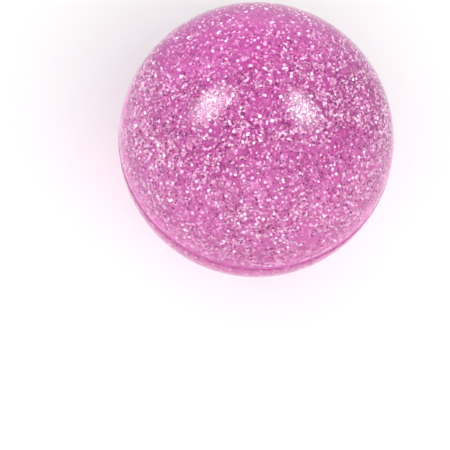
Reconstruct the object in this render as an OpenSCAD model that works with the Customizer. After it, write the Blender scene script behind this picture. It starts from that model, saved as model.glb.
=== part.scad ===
// High-bounce glitter ball.
// A solid rubber core sits inside a clear rubber skin that is full of glitter.
// The skin is two half covers, closed on a ring of bonding rubber at the equator.
// The origin is the ball's centre, and +Z runs through the poles, square to the seam.

/* [Ball] */
// Outside diameter of the ball
ball_d = 49; // [32:1:65]
// Thickness of the clear skin over the core
skin_t = 4; // [2.5:0.5:8]

/* [Seam] */
// Width of the bonding ring between the two covers
seam_w = 1.2; // [0.6:0.1:3]
// Depth of the ring's face below the ball's surface
seam_recess = 0.1; // [0.05:0.05:0.4]
// Chamfer on the outer edge of each cover at the seam
seam_chamfer = 0.25; // [0.1:0.05:0.8]

/* [Glitter] */
// Width of a flake across its flats
flake_w = 0.4; // [0.2:0.05:0.8]
// Thickness of the flake film
flake_t = 0.05; // [0.03:0.01:0.15]
// Flakes set in each cover
flake_count = 240; // [60:10:400]
// Steepest tilt of a flake from lying flat in the skin
flake_tilt = 55; // [0:5:85]
// Least clear rubber around a flake
flake_cover = 0.15; // [0.05:0.05:0.4]

/* [Hidden] */
$fn = 96;

// How far every cut runs past what it cuts
overrun = 1;

ball_r = ball_d / 2;
core_r = ball_r - skin_t;
ring_r = ball_r - seam_recess;
half_seam = seam_w / 2;
full_turn = 360;

// A flake is a hexagon, so its corners reach further than its flats
flake_sides = 6;
flake_corner_r = flake_w / 2 / cos(full_turn / flake_sides / 2);

// The flakes' centres stay this far from the skin's two faces and from the seam
flake_margin = flake_cover + flake_corner_r;
flake_r_low = core_r + flake_margin;
flake_r_high = ball_r - flake_margin;
flake_z_low = half_seam + flake_margin;

// Three flakes in five are silver, and the others are rainbow film
flake_cycle = 5;
silver_per_cycle = 3;

// Irrational shares, from one flake to the next, which spread the flakes evenly and never repeat
turn_share = 0.618034;
depth_share = 0.754878;
tilt_share = 0.569840;
lean_share = 0.430160;

// A flake sits halfway up its own step of height
step_share = 0.5;

function part_of_one(x) = x - floor(x);

function flake_radius(i) = flake_r_low + (flake_r_high - flake_r_low) * part_of_one(i * depth_share);

// Heights in equal steps give each flake the same area of the ball
function flake_height(i) =
    flake_z_low + (flake_radius(i) - flake_z_low) * (i % flake_count + step_share) / flake_count;

function is_silver(i) = i % flake_cycle < silver_per_cycle;

// One hexagonal flake, lying flat in the skin at its place and then tilted
module flake(i) {
    polar = acos(flake_height(i) / flake_radius(i));
    rotate([0, polar, full_turn * part_of_one(i * turn_share)])
        translate([0, 0, flake_radius(i)])
            rotate([0, 0, full_turn * part_of_one(i * lean_share)])
                rotate([flake_tilt * part_of_one(i * tilt_share), 0, 0])
                    cylinder(h = flake_t, r = flake_corner_r, center = true, $fn = flake_sides);
}

// The flakes of one film, in the upper half of the ball
module flakes(first, silver) {
    for (i = [first : first + flake_count - 1])
        if (is_silver(i) == silver)
            flake(i);
}

module all_flakes(first) {
    flakes(first, true);
    flakes(first, false);
}

// What lies above the seam, as a block that is wider than the ball
module upper_space() {
    reach = ball_r + overrun;
    translate([-reach, -reach, half_seam])
        cube([2 * reach, 2 * reach, reach]);
}

// The ring of rubber that a chamfer takes off a cover's outer edge
module edge_chamfer() {
    rotate_extrude()
        polygon([
            [ball_r - seam_chamfer, half_seam - overrun],
            [ball_r - seam_chamfer, half_seam],
            [ball_r + overrun, half_seam + seam_chamfer + overrun],
            [ball_r + overrun, half_seam - overrun],
        ]);
}

// A half cover: the skin above the seam, with a pocket for each of its flakes
module cover(first) {
    difference() {
        intersection() {
            sphere(r = ball_r);
            upper_space();
        }
        sphere(r = core_r);
        edge_chamfer();
        all_flakes(first);
    }
}

module bounce_core() {
    color([0.76, 0.26, 0.60])
        sphere(r = core_r);
}

module upper_cover() {
    color([0.93, 0.62, 0.84, 0.5])
        cover(0);
}

// The lower cover's flakes carry on from the upper's, so the two don't mirror
module lower_cover() {
    color([0.93, 0.62, 0.84, 0.5])
        mirror([0, 0, 1])
            cover(flake_count);
}

module seam_ring() {
    color([0.72, 0.22, 0.55])
        difference() {
            intersection() {
                sphere(r = ring_r);
                cube([2 * ball_r, 2 * ball_r, seam_w], center = true);
            }
            sphere(r = core_r);
        }
}

module silver_film() {
    color([0.88, 0.88, 0.90])
        children();
}

module rainbow_film() {
    color([0.94, 0.78, 0.92])
        children();
}

bounce_core();
upper_cover();
lower_cover();
seam_ring();
silver_film() flakes(0, true);  // upper_silver_flakes
rainbow_film() flakes(0, false);  // upper_rainbow_flakes
silver_film() mirror([0, 0, 1]) flakes(flake_count, true);  // lower_silver_flakes
rainbow_film() mirror([0, 0, 1]) flakes(flake_count, false);  // lower_rainbow_flakes
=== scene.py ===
import math

import bpy
import numpy as np
from mathutils import Matrix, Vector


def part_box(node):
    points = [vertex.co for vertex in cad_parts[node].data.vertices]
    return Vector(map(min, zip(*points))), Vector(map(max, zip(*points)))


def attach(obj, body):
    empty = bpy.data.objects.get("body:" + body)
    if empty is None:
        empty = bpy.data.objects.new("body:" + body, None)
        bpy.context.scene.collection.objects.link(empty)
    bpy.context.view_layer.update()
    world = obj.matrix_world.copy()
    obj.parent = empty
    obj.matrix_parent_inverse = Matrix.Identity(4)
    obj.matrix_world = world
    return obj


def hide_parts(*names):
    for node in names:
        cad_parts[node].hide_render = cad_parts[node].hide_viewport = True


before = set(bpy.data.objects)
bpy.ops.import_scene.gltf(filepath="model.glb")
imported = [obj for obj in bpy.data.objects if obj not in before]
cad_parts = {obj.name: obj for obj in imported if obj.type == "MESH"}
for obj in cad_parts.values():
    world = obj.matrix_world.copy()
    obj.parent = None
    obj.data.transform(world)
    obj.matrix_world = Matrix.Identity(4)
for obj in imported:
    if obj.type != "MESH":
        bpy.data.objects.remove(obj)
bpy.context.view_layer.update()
scene = bpy.context.scene
scene.view_settings.view_transform = "Standard"
mm = 0.001
fullTurn = 2 * math.pi

# the sizes that the solids hold
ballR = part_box("upper_cover")[1].z
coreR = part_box("bounce_core")[1].z
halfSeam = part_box("seam_ring")[1].z
print("frame: ball %.2f mm, core %.2f mm" % (2 * ballR / mm, 2 * coreR / mm))
print("frame: seam %.2f mm" % (2 * halfSeam / mm))


def towards(azimuth, elevation):
    # unit vector from the ball's centre: azimuth 0 faces the camera's side and 90 its right, in degrees
    a = math.radians(azimuth)
    e = math.radians(elevation)
    return np.array([math.sin(a) * math.cos(e), -math.cos(a) * math.cos(e), math.sin(e)])


def unit(v):
    # each vector divided by its own length
    return v / np.linalg.norm(v, axis=-1, keepdims=True)


def axesMatrix(x, y, z, place):
    # a 4x4 matrix whose columns are three axes and a place
    made = np.eye(4)
    made[:3] = np.stack([x, y, z, place], 1)
    return Matrix(made.tolist())


# the camera stands far off, above the ball, and is a little rolled
# the Px sizes are the frame's width, and the ball's radius and centre in it
cameraSet = dict(elevation=68.5, roll=11.0, distance=1.0, farthest=10.0, sensor=36.0,
                 framePx=450, ballPx=137.8, centrePx=(255.64, 139.16))


def makeCamera(s):
    # its right and up are the level pair turned by the roll
    back = towards(0, s["elevation"])
    poleUp = unit(np.array([0, 0, 1]) - back * back[2])
    side = np.cross(poleUp, back)
    roll = math.radians(s["roll"])
    right = math.cos(roll) * side + math.sin(roll) * poleUp
    up = math.cos(roll) * poleUp - math.sin(roll) * side
    # the aim is off the ball's centre by as much as the ball is off the frame's centre
    perPx = ballR / s["ballPx"]
    middle = (s["framePx"] - 1) / 2
    aimRight = (middle - s["centrePx"][0]) * perPx
    aimUp = (s["centrePx"][1] - middle) * perPx
    aim = aimRight * right + aimUp * up
    place = back * s["distance"]
    z = unit(place - aim)
    x = unit(np.cross(up, z))
    # lens: the ball's radius on the sensor times the length of a sight line that touches it, over its radius
    touching = math.sqrt(s["distance"] ** 2 - ballR ** 2)
    data = bpy.data.cameras.new("camera")
    data.sensor_width = s["sensor"]
    data.lens = s["ballPx"] / s["framePx"] * s["sensor"] * touching / ballR
    data.clip_end = s["farthest"]
    camera = bpy.data.objects.new("camera", data)
    scene.collection.objects.link(camera)
    camera.matrix_world = axesMatrix(x, np.cross(z, x), z, place)
    scene.camera = camera
    print("camera: %.0f mm lens at %.2f m" % (data.lens, s["distance"]))


makeCamera(cameraSet)


class Wire:
    # a shader socket that takes part in Python sums: each sum adds a Math node to the socket's own tree
    def __init__(self, socket):
        self.socket = socket

    @staticmethod
    def node(tree, kind, settings, values, out=0):
        # any node: its settings first, then the values or wires of its sockets
        made = tree.nodes.new("ShaderNode" + kind)
        for name, value in settings.items():
            setattr(made, name, value)
        for key, value in values.items():
            if isinstance(value, Wire):
                tree.links.new(value.socket, made.inputs[key])
            elif isinstance(value, tuple) and made.inputs[key].type == "RGBA":
                made.inputs[key].default_value = (*value, 1)
            else:
                made.inputs[key].default_value = value
        return Wire(made.outputs[out])

    def maths(self, operation, *values):
        # a Math node on the values, or on this wire alone
        values = dict(enumerate(values or [self]))
        return Wire.node(self.socket.id_data, "Math", {"operation": operation}, values)

    def __add__(self, other):
        return self.maths("ADD", self, other)

    def __sub__(self, other):
        return self.maths("SUBTRACT", self, other)

    def __rsub__(self, other):
        return self.maths("SUBTRACT", other, self)

    def __mul__(self, other):
        return self.maths("MULTIPLY", self, other)

    __radd__ = __add__
    __rmul__ = __mul__


noiseMean = 0.5  # noise swings about this


def noise(tree, place, size, detail, twist=0.0):
    # soft noise whose blotches are about as wide as the size
    return Wire.node(tree, "TexNoise", {}, {
        "Vector": place, "Scale": 1 / size, "Detail": detail, "Distortion": twist})


def eased(tree, value, start, full):
    # 0 at the start and 1 at the full value, with a smooth step between
    return Wire.node(tree, "MapRange", {"interpolation_type": "SMOOTHSTEP"}, {0: value, 1: start, 2: full})


def blended(tree, factor, first, second):
    # two colours mixed by a factor
    return Wire.node(tree, "Mix", {"data_type": "RGBA"}, {0: factor, 6: first, 7: second}, 2)


def newMaterial(name):
    # a material with no nodes yet, and its tree
    made = bpy.data.materials.new(name)
    made.use_nodes = True
    made.node_tree.nodes.clear()
    return made, made.node_tree


def shown(tree, surface):
    # the surface wired to the material's output
    output = tree.nodes.new("ShaderNodeOutputMaterial")
    tree.links.new(surface.socket, output.inputs["Surface"])


def lettingLightThrough(tree, surface, tint):
    # shadow rays pass, tinted, so that the light reaches what lies behind
    shadowRay = Wire.node(tree, "LightPath", {}, {}, "Is Shadow Ray")
    clear = Wire.node(tree, "BsdfTransparent", {}, {"Color": tint})
    return Wire.node(tree, "MixShader", {}, {0: shadowRay, 1: surface, 2: clear})


# the clear skin: pink-tinted, glossy as it leaves the mould, with a faint orange peel
clearSet = dict(
    tint=(0.955, 0.745, 0.865), passing=(0.88, 0.78, 0.84), ior=1.3,
    peelSize=1.6 * mm, peelDepth=0.006 * mm, peelDetail=2.0,
    roughness=0.085, handling=0.04, touchPace=0.12, touchDetail=3.0)


def clearRubber(s):
    # a refracting body: its bump is the peel, and its roughness swings with a slower noise from handling
    made, tree = newMaterial("clearRubber")
    place = Wire.node(tree, "TexCoord", {}, {}, "Object")
    peel = noise(tree, place, s["peelSize"], s["peelDetail"])
    touch = noise(tree, place, s["peelSize"] / s["touchPace"], s["touchDetail"])
    bump = Wire.node(tree, "Bump", {}, {"Height": peel, "Distance": s["peelDepth"], "Strength": 1.0})
    skin = Wire.node(tree, "BsdfPrincipled", {}, {
        "Base Color": s["tint"], "Roughness": s["roughness"] + s["handling"] * (touch - noiseMean),
        "IOR": s["ior"], "Transmission Weight": 1.0, "Normal": bump})
    shown(tree, lettingLightThrough(tree, skin, s["passing"]))
    return made


# the core's magenta, with a slow pearl swirl and fine pale specks, lit through by a glow under its face
# each band's reach is the height where it starts and the height where it is full
coreSet = dict(
    deep=(0.45, 0.076, 0.312), pearl=(0.50, 0.12, 0.372),
    swirlSize=9 * mm, swirlDetail=4.0, swirlTwist=1.2, cloudBand=(0.35, 0.65),
    speck=(0.64, 0.34, 0.525), speckShare=0.4, speckSize=0.9 * mm, speckDetail=2.0, speckBand=(0.48, 0.66),
    # painted light: the shoulder band is paler on the front, where the core lies in shade
    shoulderPaintedLight=(0.66, 0.235, 0.515), shoulderPaintedLightReach=(17 * mm, 6 * mm), shoulderPaintedLightShare=0.8,
    # painted shade: the belt is deeper at the back, to tone down the pale reflection at the rim
    backPaintedShade=(0.41, 0.04, 0.295), backPaintedShadeReach=(14 * mm, 6 * mm),
    # painted light: the low band is pinker below the seam, where the core lies in shade
    low=(0.75, 0.07, 0.50), lowReach=(-1 * mm, -6 * mm),
    base=(0.52, 0.12, 0.39), baseReach=(-8 * mm, -15 * mm),
    frontReach=(10 * mm, -4 * mm), roughness=0.55, polish=0.15, ior=1.1,
    glow=0.75, glowRadius=(1.0, 0.35, 0.7), glowDepth=12 * mm, passing=(1.0, 0.75, 0.92))


def paleSpecks(tree, place, s):
    # fine noise pushed towards 0 or 1, the same in the core and in the ring
    grit = noise(tree, place, s["speckSize"], s["speckDetail"])
    return eased(tree, grit, *s["speckBand"])


def coreRubber(s):
    # deep and pearl mixed by the swirl, then the specks, then each band over what went before
    made, tree = newMaterial("coreRubber")
    place = Wire.node(tree, "TexCoord", {}, {}, "Object")
    swirl = noise(tree, place, s["swirlSize"], s["swirlDetail"], s["swirlTwist"])
    cloud = eased(tree, swirl, *s["cloudBand"])
    colour = blended(tree, cloud, s["deep"], s["pearl"])
    colour = blended(tree, s["speckShare"] * paleSpecks(tree, place, s), colour, s["speck"])
    # painted light and shade: paler on the shoulders in front and pinker below the seam, where the core lies
    # in shade, and deeper at the back, against the pale reflection at the rim; duller at the foot
    height = Wire.node(tree, "SeparateXYZ", {}, {0: place}, "Z")
    along = Wire.node(tree, "SeparateXYZ", {}, {0: place}, "Y")
    front = eased(tree, along, *s["frontReach"])
    bands = dict(shoulderPaintedLight=s["shoulderPaintedLightShare"] * front, backPaintedShade=1 - front, low=1.0, base=1.0)
    for band, share in bands.items():
        near = eased(tree, height, *s[band + "Reach"])
        colour = blended(tree, share * near, colour, s[band])
    body = Wire.node(tree, "BsdfPrincipled", {}, {
        "Base Color": colour, "Roughness": s["roughness"] - s["polish"] * cloud, "IOR": s["ior"],
        "Subsurface Weight": s["glow"], "Subsurface Radius": s["glowRadius"],
        "Subsurface Scale": s["glowDepth"]})
    shown(tree, lettingLightThrough(tree, body, s["passing"]))
    return made


# the bonding rubber is pale pink inside and deep magenta where it comes to the surface
seamSet = dict(
    inside=(0.71, 0.19, 0.535), speck=(0.96, 0.64, 0.87),
    skin=(0.38, 0.04, 0.24), worn=(0.48, 0.06, 0.31), skinDepth=0.35 * mm,
    grain=2.2 * mm, grainDetail=3.0, wearBand=(0.4, 0.6), roughness=0.35, grainRoughness=0.2,
    recess=0.1 * mm, rise=0.02 * mm, bond=0.03 * mm,
    crownSteps=15, crownPower=4, turnSteps=288, edge=35)


def seamRubber(s):
    # the inside's colour gives way to the skin's with the distance from Z, over the skin's depth
    made, tree = newMaterial("seamRubber")
    place = Wire.node(tree, "TexCoord", {}, {}, "Object")
    out = Wire.node(tree, "VectorMath", {"operation": "MULTIPLY"}, {0: place, 1: (1.0, 1.0, 0.0)})
    far = Wire.node(tree, "VectorMath", {"operation": "LENGTH"}, {0: out}, "Value")
    face = eased(tree, far, ballR - s["recess"] - s["skinDepth"], ballR - 2 * s["recess"])
    inside = blended(tree, paleSpecks(tree, place, coreSet), s["inside"], s["speck"])
    grain = noise(tree, place, s["grain"], s["grainDetail"])
    wear = eased(tree, grain, *s["wearBand"])
    colour = blended(tree, face, inside, blended(tree, wear, s["skin"], s["worn"]))
    body = Wire.node(tree, "BsdfPrincipled", {}, {
        "Base Color": colour, "Roughness": s["roughness"] + s["grainRoughness"] * grain})
    shown(tree, body)
    return made


# film of the flakes: each flake has its own tint, in the attribute film
filmSet = dict(silverMetal=0.26, silverRoughness=0.5, rainbowMetal=0.25, rainbowRoughness=0.48, gloss=0.12)


def filmMaterial(name, metal, roughness):
    # part metal, in the tint that each flake's points carry
    made, tree = newMaterial(name)
    tint = Wire.node(tree, "Attribute", {"attribute_name": "film"}, {}, "Color")
    body = Wire.node(tree, "BsdfPrincipled", {}, {
        "Base Color": tint, "Metallic": metal, "Roughness": roughness,
        "Specular IOR Level": filmSet["gloss"]})
    shown(tree, body)
    return made


def newPiece(name, points, corners, counts, material, node, edge=None):
    # a mesh from whole arrays: points, each face's corners in one row, and how many corners each face has
    # it is smooth up to the edge angle in degrees, or flat if there is none
    mesh = bpy.data.meshes.new(name)
    mesh.vertices.add(len(points))
    mesh.vertices.foreach_set("co", points.astype(np.float32).ravel())
    mesh.loops.add(len(corners))
    mesh.loops.foreach_set("vertex_index", corners.astype(np.int32))
    mesh.polygons.add(len(counts))
    mesh.polygons.foreach_set("loop_start", (np.cumsum(counts) - counts).astype(np.int32))
    mesh.update(calc_edges=True)
    mesh.validate()
    if edge is not None:
        mesh.shade_smooth()
        mesh.set_sharp_from_angle(angle=math.radians(edge))
    else:
        mesh.shade_flat()
    mesh.materials.append(material)
    piece = bpy.data.objects.new(name, mesh)
    scene.collection.objects.link(piece)
    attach(piece, "root")
    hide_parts(node)
    print("%s: %d faces" % (name, len(counts)))
    return piece


def turned(profile, steps):
    # a profile of (radius, height) carried round Z; its ends are poles if they lie on Z, or else it is a loop
    profile = np.asarray(profile, float)
    turn = np.arange(steps) * fullTurn / steps
    poles = profile[0, 0] == 0
    rows = profile[1:-1] if poles else profile
    x = np.outer(rows[:, 0], np.cos(turn))
    y = np.outer(rows[:, 0], np.sin(turn))
    z = np.repeat(rows[:, 1:], steps, 1)
    points = np.stack([x, y, z], 2).reshape(-1, 3)
    n = len(rows)
    i, j = np.meshgrid(np.arange(n - 1 if poles else n), np.arange(steps), indexing="ij")
    row = i * steps
    nextRow = (i + 1) % n * steps
    nextTurn = (j + 1) % steps
    quads = np.stack([row + j, nextRow + j, nextRow + nextTurn, row + nextTurn], 2)
    corners = quads.reshape(-1)
    counts = np.full(i.size, 4)
    if poles:
        # a fan of triangles closes each end
        j = np.arange(steps)
        last = (n - 1) * steps
        top = np.stack([np.full(steps, n * steps), j, (j + 1) % steps], 1)
        foot = np.stack([np.full(steps, n * steps + 1), last + (j + 1) % steps, last + j], 1)
        points = np.vstack([points, [[0, 0, profile[0, 1]], [0, 0, profile[-1, 1]]]])
        corners = np.concatenate([corners, top.ravel(), foot.ravel()])
        counts = np.concatenate([counts, np.full(2 * steps, 3)])
    return points, corners, counts


def arc(radius, start, end, count):
    # points of a circle about the origin, by the angle from +Z in radians
    t = np.linspace(start, end, count)
    return np.stack([radius * np.sin(t), radius * np.cos(t)], 1)


waveSet = dict(count=24, paces=(0.6, 1.4))


def waves(points, pace, seed):
    # the mean of sine waves over the direction of each point, from -1 to 1
    count = waveSet["count"]
    rng = np.random.default_rng(seed)
    axes = unit(rng.normal(size=(count, 3)))
    phase = rng.uniform(0, fullTurn, count)
    speed = pace * rng.uniform(*waveSet["paces"], count)
    return np.sin(unit(points) @ axes.T * speed + phase).mean(1)


# a half cover, with a rounded lip at the seam
coverSet = dict(lip=0.14 * mm, bond=0.05 * mm, domeSteps=110, lipSteps=8, innerSteps=48, turnSteps=288,
                sink=0.03 * mm, sinkPace=17, sinkFade=3, edge=40)


def coverProfile(s):
    # from the pole down the outer dome, a quarter turn round the lip, across the flat face on the ring
    # and up the inner dome on the core
    lipTop = halfSeam + s["lip"]
    lipR = ballR - s["lip"]
    inner = coreR - s["bond"]
    dome = arc(ballR, 0, math.acos(lipTop / ballR), s["domeSteps"])
    dome[0, 0] = 0
    turn = np.linspace(math.pi / 2, 0, s["lipSteps"])[1:]
    lip = np.stack([lipR + (dome[-1, 0] - lipR) * np.sin(turn), lipTop - s["lip"] * np.cos(turn)], 1)
    hollow = arc(inner, math.acos(halfSeam / inner), 0, s["innerSteps"])
    hollow[-1, 0] = 0
    return np.vstack([dome, lip, hollow])


def makeCover(name, side, node, material, seed):
    # the upper cover's profile turned round Z, or its mirror for the lower
    s = coverSet
    profile = coverProfile(s)
    if side < 0:
        profile = (profile * [1, -1])[::-1]
    points, corners, counts = turned(profile, s["turnSteps"])
    # the moulded face sinks a hair here and there as the rubber cools, and the inner face not at all
    far = np.linalg.norm(points, axis=1)
    outer = np.clip((far - coreR) / (ballR - coreR), 0, 1) ** s["sinkFade"]
    dips = 0.5 + 0.5 * waves(points, s["sinkPace"], seed)
    points *= (1 - outer * s["sink"] / ballR * dips)[:, None]
    newPiece(name, points, corners, counts, material, node, edge=s["edge"])


clear = clearRubber(clearSet)
makeCover("upperCover", 1, "upper_cover", clear, seed=3)
makeCover("lowerCover", -1, "lower_cover", clear, seed=4)


# the core is one ball, a hair uneven where it cured
coreShape = dict(rings=96, turns=192, sink=0.02 * mm, pace=12, seed=5, edge=60)


def makeCore(s):
    # a half circle turned round Z, each point drawn in by the sink times a wave from 0 to 1
    profile = arc(coreR, 0, math.pi, s["rings"])
    profile[[0, -1], 0] = 0
    points, corners, counts = turned(profile, s["turns"])
    dips = 0.5 + 0.5 * waves(points, s["pace"], s["seed"])
    points *= (1 - s["sink"] / coreR * dips)[:, None]
    newPiece("bounceCore", points, corners, counts, coreRubber(coreSet), "bounce_core",
             edge=s["edge"])


makeCore(coreShape)


def makeRing(s):
    # a flat band: its outer face is a crown that falls by the recess times a high power of the height
    outer = ballR - s["recess"]
    inner = coreR - s["bond"]
    half = halfSeam + s["rise"]
    t = np.linspace(1, -1, s["crownSteps"])
    crown = np.stack([outer - s["recess"] * t ** s["crownPower"], half * t], 1)
    profile = np.vstack([crown, [[inner, -half], [inner, half]]])
    points, corners, counts = turned(profile, s["turnSteps"])
    newPiece("seamRing", points, corners, counts, seamRubber(s), "seam_ring", edge=s["edge"])


makeRing(seamSet)


# glitter: hexagons cut from film, held at every depth of the skin
# where there are two values, 1 is for the upper half and -1 for the lower; heights and sides are in degrees
flakeSet = dict(
    corners=6, width=0.4 * mm, film=0.05 * mm, sizes=(0.85, 1.25), tilt=86, cover=0.06 * mm, drawsEach=3,
    clumpPace=14, clumpSeed=19, clumpGain=3,
    bare={1: 48, -1: 24}, bareShare={1: 1.0, -1: 0.45},
    thinSide=-163, thinShare={1: 1.0, -1: 0.5}, thinSlope=1.6, thinStart=0.1,
    haze=(0.66, 0.26, 0.515), deepHaze=0.75, hazeDepth=(0.12, 0.75),
    # painted light: by the seam, pink is laid over the flakes, which lie in shade there and would show grey
    seamPaintedPink={1: (0.62, 0.08, 0.44), -1: (0.90, 0.12, 0.63)},
    seamPaintedHaze={1: 0.45, -1: 0.8}, seamPaintedHazeTop={1: 22, -1: 40})


def filmTint(share, colour, size=1.0, thin=0.9, seam=1.75, haze=1.0, clump=0.85):
    # one tint of film: its share, its size beside the others, how far it thins out on the thin side,
    # how many of it lie by the seam beside the usual, how much haze it takes and how far it gathers in clumps
    return dict(share=share, colour=colour, size=size, thin=thin, seam=seam, haze=haze, clump=clump)


# mid tints lie almost everywhere; the dark ones are painted shade, standing in for the shadows between flakes
# and for flakes that mirror dark surroundings, and they hardly gather and keep more of their own colour
mid = dict(thin=0.3, clump=0.1)
paintedShadeFlakes = dict(thin=0.85, haze=0.32, clump=0.15)
silverTints = [
    filmTint(0.12, (0.90, 0.86, 0.89), size=1.15, thin=0.1, haze=0.1),
    filmTint(0.46, (0.83, 0.73, 0.805), size=1.04, thin=0.85),
    filmTint(0.14, (0.70, 0.36, 0.58), **mid),
    filmTint(0.265, (0.225, 0.004, 0.125), size=0.78, seam=0.4, **paintedShadeFlakes),
    filmTint(0.18, (0.13, 0.003, 0.08), size=0.76, seam=0.25, **paintedShadeFlakes)]
rainbowTints = [
    filmTint(0.36, (0.80, 0.65, 0.775), size=1.04, thin=0.85),
    filmTint(0.19, (0.81, 0.62, 0.65)),
    filmTint(0.054, (0.71, 0.77, 0.77)),
    filmTint(0.165, (0.69, 0.64, 0.80)),
    filmTint(0.15, (0.70, 0.33, 0.58), **mid),
    filmTint(0.35, (0.21, 0.004, 0.13), size=0.78, seam=0.25, **paintedShadeFlakes)]


def makeFlakes(name, side, node, slot, material, tints, count, seed):
    # flakes drawn at random all over the half, of which those stay that a second draw leaves, up to the count
    s = flakeSet
    rng = np.random.default_rng(seed)
    draws = s["drawsEach"] * count
    each = {key: np.array([tint[key] for tint in tints]) for key in tints[0]}
    kind = rng.choice(len(tints), draws, p=each["share"] / each["share"].sum())
    # a flake's size is the radius to its corners
    n = s["corners"]
    size = rng.uniform(*s["sizes"], draws) * s["width"] / 2 / math.cos(math.pi / n)
    size *= each["size"][kind]
    tilt = np.arccos(rng.uniform(math.cos(math.radians(s["tilt"])), 1, draws))  # every way alike
    # each flake keeps clear of the skin's faces by as much as its tilt lifts its corners
    margin = s["cover"] + size * np.sin(tilt)
    low = coreR + margin
    high = ballR - margin
    depth = rng.uniform(0, 1, draws)
    far = np.cbrt(high ** 3 - depth * (high ** 3 - low ** 3))  # every volume alike
    foot = halfSeam + s["cover"] + size
    z = (foot + (far - foot) * rng.uniform(0, 1, draws)) / far  # every area alike
    turn = rng.uniform(0, fullTurn, draws)
    level = np.sqrt(1 - z * z)
    out = np.stack([level * np.cos(turn), level * np.sin(turn), side * z], 1)
    # the chance to stay: its own share by the seam, a smooth step up to the full chance above it
    above = np.clip(np.degrees(np.arcsin(z)) / s["bare"][side], 0, 1)
    least = s["bareShare"][side] * each["seam"][kind]
    room = least + (1 - least) * above ** 2 * (3 - 2 * above)
    # less on the thin side, and less between the clumps
    facing = s["thinSlope"] * (out @ towards(s["thinSide"], 0)) - s["thinStart"]
    room *= 1 - s["thinShare"][side] * each["thin"][kind] * np.clip(facing, 0, 1)
    crowd = 0.5 + 0.5 * np.clip(s["clumpGain"] * waves(out, s["clumpPace"], s["clumpSeed"]), -1, 1)
    room *= 1 - each["clump"][kind] * (1 - crowd)
    keep = np.flatnonzero(rng.uniform(0, 1, draws) < room)[:count]
    out, far, size, tilt, depth, kind = (drawn[keep] for drawn in (out, far, size, tilt, depth, kind))
    # a flake's own axes: its normal leans by the tilt from straight out, and it is spun about that normal
    lean = unit(np.cross(out, unit(rng.normal(size=out.shape))))
    cross = np.cross(out, lean)
    c = np.cos(tilt)[:, None]
    t = np.sin(tilt)[:, None]
    normal = c * out + t * lean
    flat = c * lean - t * out
    step = fullTurn / n
    spin = (rng.uniform(0, step, len(out))[:, None] + np.arange(n) * step)[:, :, None]
    rim = (np.cos(spin) * flat[:, None] + np.sin(spin) * cross[:, None]) * size[:, None, None]
    half = normal[:, None] * s["film"] / 2
    middle = (out * far[:, None])[:, None]
    points = np.concatenate([middle + rim + half, middle + rim - half], 1).reshape(-1, 3)
    # faces of one flake: its two hexagons and a side at each edge
    k = np.arange(n)
    following = (k + 1) % n
    sides = np.stack([k + n, following + n, following, k], 1)
    oneFlake = np.concatenate([k, k[::-1] + n, sides.ravel()])
    perFlake = 2 * n
    corners = (np.arange(len(out))[:, None] * perFlake + oneFlake).ravel()
    counts = np.tile([n, n] + [4] * n, len(out))
    piece = newPiece(name, points, corners, counts, material, node)
    piece.visible_shadow = False  # so that the flakes don't darken the core behind them
    # the deeper a flake lies, the more of the skin's pink it takes; nearer the seam more pink is painted on
    # as painted light, since the flakes there lie in shade
    start, full = s["hazeDepth"]
    deep = s["deepHaze"] * np.clip((depth - start) / (full - start), 0, 1)
    height = np.degrees(np.arcsin(np.abs(out[:, 2])))
    near = s["seamPaintedHaze"][side] * np.clip(1 - height / s["seamPaintedHazeTop"][side], 0, 1)
    tint = each["colour"][kind]
    for share, pink in ((deep, s["haze"]), (near, s["seamPaintedPink"][side])):
        haze = (share * each["haze"][kind])[:, None]
        tint = tint * (1 - haze) + haze * np.array(pink)
    colours = np.concatenate([tint, np.ones((len(out), 1))], 1)
    film = piece.data.attributes.new("film", "FLOAT_COLOR", "POINT")
    film.data.foreach_set("color", np.repeat(colours, perFlake, 0).astype(np.float32).ravel())


silver = dict(slot="silver_film", tints=silverTints, count=8400,
              material=filmMaterial("silverFilm", filmSet["silverMetal"], filmSet["silverRoughness"]))
rainbow = dict(slot="rainbow_film", tints=rainbowTints, count=5800,
               material=filmMaterial("rainbowFilm", filmSet["rainbowMetal"], filmSet["rainbowRoughness"]))
makeFlakes("upperSilverFlakes", 1, "upper_silver_flakes", seed=21, **silver)
makeFlakes("lowerSilverFlakes", -1, "lower_silver_flakes", seed=22, **silver)
makeFlakes("upperRainbowFlakes", 1, "upper_rainbow_flakes", seed=23, **rainbow)
makeFlakes("lowerRainbowFlakes", -1, "lower_rainbow_flakes", seed=24, **rainbow)


# white paper under the ball, open from below
floorSet = dict(half=4.0, colour=(0.98, 0.98, 0.98))


def makeFloor(s):
    # a square at the ball's foot, clear where its back is seen
    mesh = bpy.data.meshes.new("floor")
    h = s["half"]
    z = -ballR
    mesh.from_pydata([(-h, -h, z), (h, -h, z), (h, h, z), (-h, h, z)], [], [(0, 1, 2, 3)])
    made, tree = newMaterial("floorPaper")
    paper = Wire.node(tree, "BsdfDiffuse", {}, {"Color": s["colour"]})
    nothing = Wire.node(tree, "BsdfTransparent", {}, {})
    below = Wire.node(tree, "NewGeometry", {}, {}, "Backfacing")
    shown(tree, Wire.node(tree, "MixShader", {}, {0: below, 1: paper, 2: nothing}))
    mesh.materials.append(made)
    floor = bpy.data.objects.new("floor", mesh)
    scene.collection.objects.link(floor)
    print("floor: %.0f m wide" % (2 * h))


makeFloor(floorSet)

# two soft boxes either side of the camera, and a thin strip beside the left one: angles in degrees
lampSets = dict(
    leftBox=dict(azimuth=-94.3, elevation=47.4, lean=135, length=50, width=27,
                 feather=(0.5, 0.36), strength=25.5),
    leftStrip=dict(azimuth=-109.5, elevation=62.5, lean=175, length=17, width=2.6,
                   feather=(0.2, 0.2), strength=31.0),
    rightBox=dict(azimuth=113, elevation=56.3, lean=32, length=44, width=30,
                  feather=(0.5, 0.46), strength=28.0))
lampFar = 0.5  # metres from the ball's centre
lampTint = (0.82, 1.0, 0.93)  # a little green, so that the highlights are neutral over the pink


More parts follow.
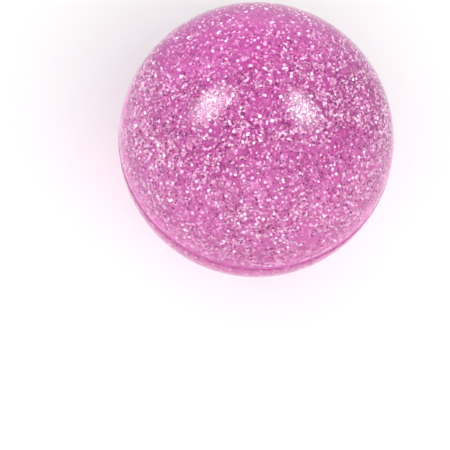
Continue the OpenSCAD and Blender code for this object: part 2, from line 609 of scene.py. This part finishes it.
def makeLamp(name, s):
    # a panel that faces the ball: its sizes are the angles it spans there, and its strength is its radiance
    out = towards(s["azimuth"], s["elevation"])
    across = towards(s["azimuth"] + 90, 0)
    rise = np.cross(out, across)
    rise = rise if rise[2] > 0 else -rise
    lean = math.radians(s["lean"])
    x = math.cos(lean) * across + math.sin(lean) * rise
    data = bpy.data.lights.new(name, "AREA")
    data.shape = "RECTANGLE"
    data.size = 2 * lampFar * math.tan(math.radians(s["length"] / 2))
    data.size_y = 2 * lampFar * math.tan(math.radians(s["width"] / 2))
    data.energy = s["strength"] * math.pi * data.size * data.size_y
    data.color = lampTint
    # the panel's light fades out towards its edges
    data.use_nodes = True
    tree = data.node_tree
    tree.nodes.clear()
    place = Wire.node(tree, "NewGeometry", {}, {}, "Parametric")
    middle = 0.5  # places on the panel run from 0 to 1
    fade = 1.0
    for axis, feather in zip("XY", s["feather"]):
        off = (Wire.node(tree, "SeparateXYZ", {}, {0: place}, axis) - middle).maths("ABSOLUTE")
        fade = fade * eased(tree, off, middle, middle - feather)
    glow = Wire.node(tree, "Emission", {}, {"Strength": fade})
    output = tree.nodes.new("ShaderNodeOutputLight")
    tree.links.new(glow.socket, output.inputs["Surface"])
    lamp = bpy.data.objects.new(name, data)
    scene.collection.objects.link(lamp)
    lamp.matrix_world = axesMatrix(x, np.cross(out, x), out, out * lampFar)
    lamp.visible_diffuse = False  # the boxes give the gloss and the glints, and the room gives the rest
    print("%s: %.2f W" % (name, data.energy))


for lampName, lampSet in lampSets.items():
    makeLamp(lampName, lampSet)

# the room: pale all round, brighter in front, dimmer at the back and where the camera stands
# a lobe's reach is the cosine off its side where it starts and where it is full
worldSet = dict(room=(1.16, 1.16, 1.16), lobes=(
    dict(side=(0, cameraSet["elevation"]), level=(0.6, 0.6, 0.6), reach=(0.8, 0.97)),
    dict(side=(180, 45), level=(0.6, 0.6, 0.6), reach=(0.35, 0.95)),
    dict(side=(24, 17), level=(2.45, 2.45, 2.45), reach=(0.3, 1.0))))


def makeWorld(s):
    # the room's level, with each lobe's blended in by the cosine between the way looked and the lobe's side
    world = bpy.data.worlds.new("room")
    scene.world = world
    world.use_nodes = True
    tree = world.node_tree
    tree.nodes.clear()
    place = Wire.node(tree, "TexCoord", {}, {}, "Generated")
    colour = s["room"]
    for lobe in s["lobes"]:
        side = tuple(towards(*lobe["side"]))
        facing = Wire.node(tree, "VectorMath", {"operation": "DOT_PRODUCT"}, {0: place, 1: side}, "Value")
        colour = blended(tree, eased(tree, facing, *lobe["reach"]), colour, lobe["level"])
    light = Wire.node(tree, "Background", {}, {"Color": colour})
    output = tree.nodes.new("ShaderNodeOutputWorld")
    tree.links.new(light.socket, output.inputs["Surface"])
    print("room: %d lobes" % len(s["lobes"]))


makeWorld(worldSet)
